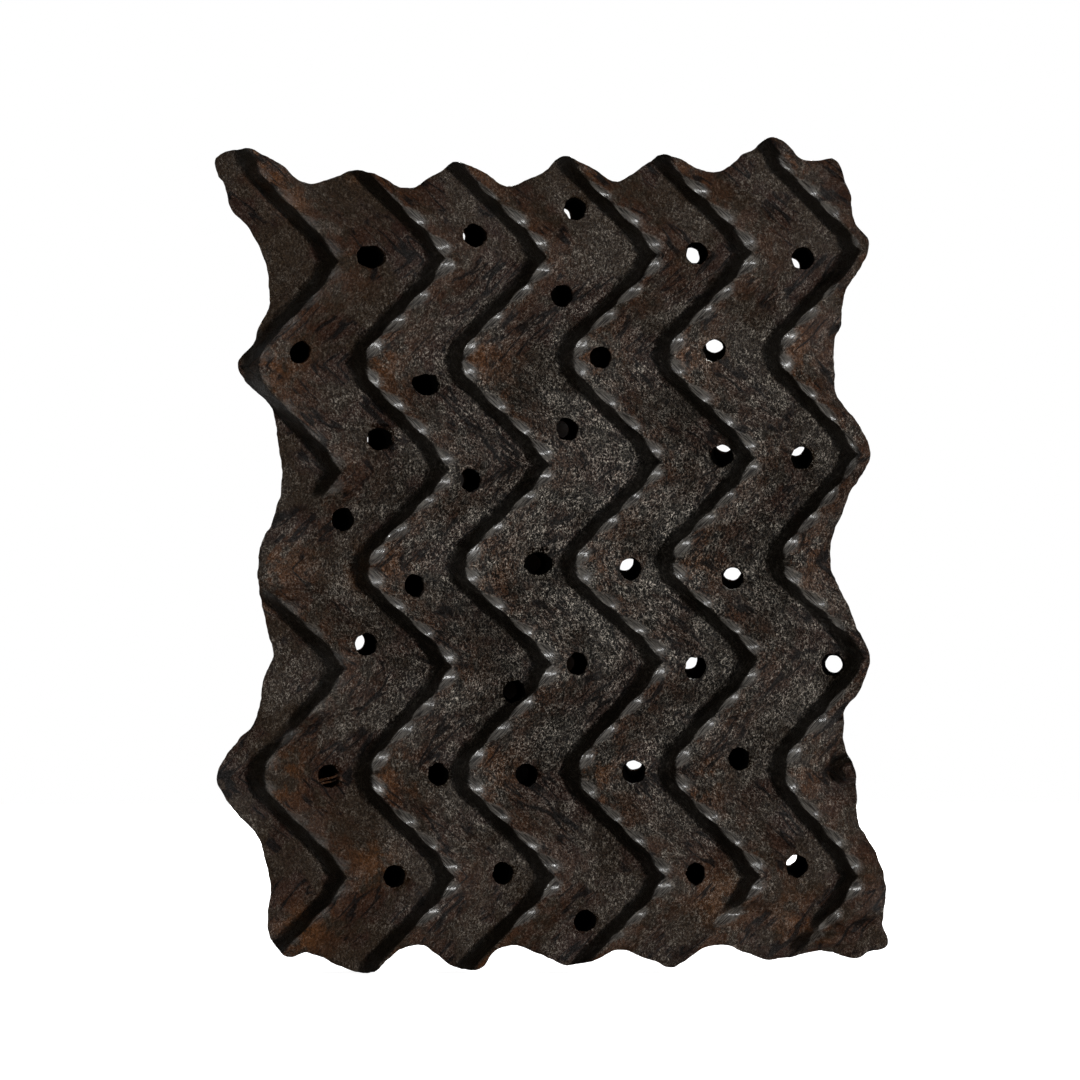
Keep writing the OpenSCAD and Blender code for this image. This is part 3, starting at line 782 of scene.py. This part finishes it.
for form, depth in depths:
    uneven = node(tree, "ShaderNodeBump", Strength=rough, Distance=depth, Height=form)
    if bump:
        tree.links.new(bump, uneven.inputs["Normal"])
    bump = uneven.outputs[0]
bump = node(tree, "ShaderNodeBump", Strength=share["scooped"], Distance=0.00011, Normal=bump,
            Height=chatter).outputs[0]
fill(tree, shader.inputs["Normal"], bump)
plank.data.materials.clear()
plank.data.materials.append(dyed_wood)
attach(plank, "root")
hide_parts("zigzag_block")

# Bridge handle: one billet of hardwood, sawn and rasped to a bridge with two flat feet, then
# worn round and smooth by the hand. Each foot is nailed to the plank's back with two nails.
handle_low, handle_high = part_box("bridge_handle")
handle_l = 170
foot_t = 14
foot_l = 34
foot_w = 52
grip_w = 38
grip_t = 19
handle_rise = 42
leg_run = 16
leg_t = 7
foot_edge_r = 3
foot_corner_r = 8
stations = np.concatenate([
    -handle_l / 2 + np.array([0, 0.15, 0.5, 1, 1.6, 2.3, 3]),
    np.linspace(-handle_l / 2, handle_l / 2, 151)[4:-4],
    handle_l / 2 - np.array([3, 2.3, 1.6, 1, 0.5, 0.15, 0]),
])
grip_end = handle_l / 2 - foot_l - leg_run
tread_end = handle_l / 2 - foot_l
gap_end = tread_end - leg_t


def eased(inner, outer, round_over, start, end):
    """A size along the handle, from start in the middle to end at the feet, its corners eased."""
    shifts = np.linspace(-round_over, round_over, 15)
    sizes = [np.interp(np.abs(stations + s), [inner, outer], [start, end]) for s in shifts]
    return np.mean(sizes, axis=0)


from_end = handle_l / 2 - np.abs(stations)
edge_off = foot_edge_r - np.sqrt(foot_edge_r**2 - np.clip(foot_edge_r - from_end, 0, None) ** 2)
corner_off = foot_corner_r - np.sqrt(foot_corner_r**2 - np.clip(foot_corner_r - from_end, 0, None) ** 2)
outer_face = eased(grip_end, tread_end, 5, handle_rise, foot_t) - edge_off
inner_face = eased(grip_end, gap_end, 3, handle_rise - grip_t, 0)
inner_face[np.abs(stations) > gap_end + 3] = 0
half_w = eased(grip_end - 4, tread_end, 6, grip_w, foot_w) / 2 - corner_off
roundness = eased(grip_end, tread_end, 4, 2.9, 9)
around = 64
handle, column, line = new_grid("bridge_handle_worn", around + 1, len(stations))
angle = 2 * math.pi * column / around
bow_x = np.sign(np.cos(angle)) * np.abs(np.cos(angle)) ** (2 / roundness[line])
bow_y = np.sign(np.sin(angle)) * np.abs(np.sin(angle)) ** (2 / roundness[line])
wrap = angle % (2 * math.pi)
rasp = 0.35 * lumps(np.cos(wrap) * 1.5 + stations[line] / 30, np.sin(wrap) * 1.5, 1, 6.6)
rasp += 0.12 * lumps(np.cos(wrap) * 6 + stations[line] / 9, np.sin(wrap) * 6, 1, 2.7)
rasp *= np.clip(inner_face[line] / 10, 0.25, 1)
side = half_w[line] * bow_x + rasp * np.cos(angle)
middle = (outer_face[line] + inner_face[line]) / 2
back = middle + (outer_face[line] - inner_face[line]) / 2 * bow_y + rasp * np.sin(angle)
back = np.where(inner_face[line] > 0, back, np.maximum(back, 0))
handle_x = (handle_low.x + handle_high.x) / 2
handle_z = (handle_low.z + handle_high.z) / 2
move_points(handle, np.column_stack([
    handle_x + side * MM,
    handle_low.y + back * MM,
    handle_z + stations[line] * MM,
]))
bpy.ops.object.mode_set(mode="EDIT")
bpy.ops.mesh.select_all(action="SELECT")
bpy.ops.mesh.remove_doubles(threshold=0.00002)
bpy.ops.mesh.fill_holes(sides=0)
bpy.ops.object.mode_set(mode="OBJECT")
face_outward(handle)

# The nail holes go through the feet and into the plank
nail_inset = 10
nail_stagger = 14
nail_hole_r = 2.05
nail_depth = 21
nail_places = {
    f"nail_{level}_{hand}": (
        handle_x + side * (foot_w / 2 - nail_inset) * MM,
        handle_z + (up * (handle_l - foot_l) / 2 + side * nail_stagger / 2) * MM,
    )
    for level, up in (("upper", 1), ("lower", -1))
    for hand, side in (("left", -1), ("right", 1))
}
bit = new_rod("bit", 16, 1)
at = points_of(bit)
for x, z in nail_places.values():
    bore = np.column_stack([
        x + at[:, 0] * nail_hole_r * MM,
        handle_low.y + np.where(at[:, 2] > 0.5, foot_t + 2, -nail_depth) * MM,
        z + at[:, 1] * nail_hole_r * MM,
    ])
    for piece in (handle, plank):
        tool = copied(bit, bore)
        face_outward(tool)
        cut(piece, tool, "DIFFERENCE")
bpy.data.objects.remove(bit)
smooth(handle, 40)

# Darker on the side towards the plank and where the feet meet it: some dye and dirt, and painted shade
# under the arch and at the joint
at = points_of(handle)
station = (at[:, 2] - handle_z) / MM
back = (at[:, 1] - handle_low.y) / MM
belly = np.interp(station, stations, (outer_face + inner_face) / 2)
raised = np.interp(station, stations, inner_face) > 1
grime_and_shade = np.maximum(np.clip((belly - back) / 6, 0, 1) * raised, 0.6 * np.clip(1 - back / 4, 0, 1))
attribute = handle.data.attributes.new("grime_and_shade", "FLOAT", "POINT")
attribute.data.foreach_set("value", grime_and_shade.astype(np.float32))

worn_wood, tree, shader, where = new_material("hand_worn_wood")
figure = cloud(tree, where, 0.004, 5, 0.6, (1, 1, 14))
pores = cloud(tree, where, 0.0006, 2, 0.5, (1, 1, 22))
stain = cloud(tree, where, 0.03, 4, 0.6)
polish = cloud(tree, where, 0.006, 3, 0.6)
wood = mixed(tree, between(tree, figure, 0.35, 0.65), srgb(84, 55, 34), srgb(122, 85, 54))
wood = mixed(tree, between(tree, pores, 0.56, 0.7, 0, 0.7), wood, srgb(44, 28, 18))
wood = mixed(tree, between(tree, stain, 0.5, 0.66, 0, 0.75), wood, srgb(46, 33, 27))
wood = mixed(tree, between(tree, polish, 0.6, 0.75, 0, 0.4), wood, srgb(60, 40, 27))
grime_and_shade_share = node(tree, "ShaderNodeAttribute", {"attribute_name": "grime_and_shade"}).outputs["Fac"]
# Dirt and painted shade under the arch and at the feet
wood = mixed(tree, maths(tree, "MULTIPLY", grime_and_shade_share, 0.9), wood, srgb(20, 15, 12))
fill(tree, shader.inputs["Base Color"], wood)
fill(tree, shader.inputs["Roughness"], between(tree, polish, 0.3, 0.7, 0.36, 0.55))
bump = node(tree, "ShaderNodeBump", Strength=0.6, Distance=0.00025, Height=figure).outputs[0]
bump = node(tree, "ShaderNodeBump", Strength=0.7, Distance=0.0001, Normal=bump,
            Height=maths(tree, "SUBTRACT", 0.0, pores)).outputs[0]
fill(tree, shader.inputs["Normal"], bump)
handle.data.materials.clear()
handle.data.materials.append(worn_wood)
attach(handle, "root")
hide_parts("bridge_handle")

# Nails: forged iron, each with a square-tapered shank and a head hammered to five or six flats,
# driven through a foot into the plank. They are dark with scale and a little rust.
nail_rings = [(-34, 0.4), (-27, 2), (0, 2), (0.02, 4.7), (0.7, 5), (1.6, 3.4), (2.4, 1.2)]
nail = new_rod("nail", 18, len(nail_rings) - 1)
at = points_of(nail)
ring = np.rint(at[:, 2]).astype(int)
angle = np.arctan2(at[:, 1], at[:, 0])
height = np.array([h for h, r in nail_rings])[ring]
radius = np.array([r for h, r in nail_rings])[ring]
rusty_iron, tree, shader, where = new_material("forged_iron")
scale = cloud(tree, where, 0.0012, 4, 0.65)
rust = cloud(tree, where, 0.0025, 4, 0.7)
iron = mixed(tree, between(tree, scale, 0.35, 0.65), srgb(46, 43, 41), srgb(82, 77, 73))
iron = mixed(tree, between(tree, rust, 0.48, 0.62, 0, 0.85), iron, srgb(98, 56, 33))
fill(tree, shader.inputs["Base Color"], iron)
fill(tree, shader.inputs["Metallic"], between(tree, rust, 0.46, 0.6, 0.9, 0.1))
fill(tree, shader.inputs["Roughness"], between(tree, scale, 0.3, 0.7, 0.42, 0.7))
bump = node(tree, "ShaderNodeBump", Strength=0.8, Distance=0.00012, Height=scale).outputs[0]
fill(tree, shader.inputs["Normal"], bump)
smith = np.random.default_rng(5)
for name, (x, z) in nail_places.items():
    flats = smith.integers(5, 7)
    first_flat = smith.uniform(0, math.pi)
    lean = smith.uniform(-0.35, 0.35, 2)
    on_head = height > 0.01
    corner = (angle - first_flat) % (2 * math.pi / flats) - math.pi / flats
    hammered = np.where(on_head, math.cos(math.pi / flats) / np.cos(corner) * 1.06, 1)
    to_flat = np.maximum(np.abs(np.cos(angle)), np.abs(np.sin(angle)))
    squared = np.where(on_head, 1, np.minimum(1, 0.8 / to_flat))
    shape = radius * hammered * squared
    driven = copied(nail, np.column_stack([
        x + (shape * np.cos(angle) + lean[0] * (height > 1)) * MM,
        handle_low.y + (foot_t + height) * MM,
        z + (shape * np.sin(angle) + lean[1] * (height > 1)) * MM,
    ]))
    driven.name = name + "_forged"
    face_outward(driven)
    smooth(driven, 20)
    driven.data.materials.append(rusty_iron)
    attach(driven, "root")
    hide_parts(name)
bpy.data.objects.remove(nail)

# Studio: a pale floor and a white surround, a lamp to the right of the face, a weak one on its left
# that the scoops shine in and one behind for the handle, and a long lens a few degrees to the left.
bpy.ops.object.select_all(action="DESELECT")
bpy.ops.mesh.primitive_plane_add(size=5, location=(0, 0, 0))
floor = bpy.context.object
floor.name = "studio_floor"
floor_white, tree, matt, where = new_material("pale_floor")
matt.inputs["Base Color"].default_value = (0.8, 0.8, 0.8, 1)
matt.inputs["Roughness"].default_value = 0.9
path = node(tree, "ShaderNodeLightPath")
seen = maths(tree, "MAXIMUM", path.outputs["Is Camera Ray"], path.outputs["Is Transmission Ray"])
floor_glow = 0.92
glow = node(tree, "ShaderNodeEmission", Strength=maths(tree, "MULTIPLY", seen, floor_glow))
both = node(tree, "ShaderNodeAddShader")
tree.links.new(matt.outputs[0], both.inputs[0])
tree.links.new(glow.outputs[0], both.inputs[1])
tree.links.new(both.outputs[0], tree.nodes["Material Output"].inputs["Surface"])
floor.data.materials.append(floor_white)

world = bpy.data.worlds.new("studio")
bpy.context.scene.world = world
world.use_nodes = True
tree = world.node_tree
path = node(tree, "ShaderNodeLightPath")
seen = maths(tree, "MAXIMUM", path.outputs["Is Camera Ray"], path.outputs["Is Transmission Ray"])
shine_light = 0.17
fill_light = 0.1
shine = maths(tree, "MULTIPLY", path.outputs["Is Glossy Ray"], shine_light)
level = maths(tree, "MAXIMUM", maths(tree, "MAXIMUM", seen, shine), fill_light)
fill(tree, tree.nodes["Background"].inputs["Strength"], level)
tree.nodes["Background"].inputs["Color"].default_value = (1, 1, 1, 1)


def lamp(name, place, aim, width, height, power):
    """A soft lamp that doesn't show in the picture."""
    light = bpy.data.lights.new(name, "AREA")
    light.shape = "RECTANGLE"
    light.size = width
    light.size_y = height
    light.energy = power
    holder = bpy.data.objects.new(name, light)
    bpy.context.collection.objects.link(holder)
    holder.location = place
    holder.rotation_euler = (Vector(aim) - Vector(place)).to_track_quat("-Z", "Y").to_euler()
    holder.visible_camera = False


face_middle = Vector((-0.003, -0.035, 0.1183))
key_angle = math.radians(52)
key_reach = 2.5
key_way = Vector((math.cos(key_angle), -math.sin(key_angle), -0.033))
lamp("key", face_middle + key_way * key_reach, face_middle, width=0.16, height=0.06, power=42)
side_angle = math.radians(46)
side_reach = 1.6
side_way = Vector((-math.cos(side_angle), -math.sin(side_angle), 0.05))
lamp("side", face_middle + side_way * side_reach, face_middle, width=0.25, height=0.15, power=6.5)
lamp("back", Vector((0.5, 2.4, 0.9)), face_middle, width=0.8, height=0.8, power=75)

view_angle = math.radians(4)
view_reach = 4.0
frame_width = 0.29506
lens = bpy.data.cameras.new("camera")
camera = bpy.data.objects.new("camera", lens)
bpy.context.collection.objects.link(camera)
lens.sensor_width = 36
lens.lens = lens.sensor_width * view_reach / frame_width
lens.clip_end = 50
camera.location = face_middle + Vector((-math.sin(view_angle), -math.cos(view_angle), 0)) * view_reach
camera.rotation_euler = (face_middle - camera.location).to_track_quat("-Z", "Y").to_euler()
bpy.context.scene.camera = camera
bpy.context.scene.view_settings.view_transform = "Standard"
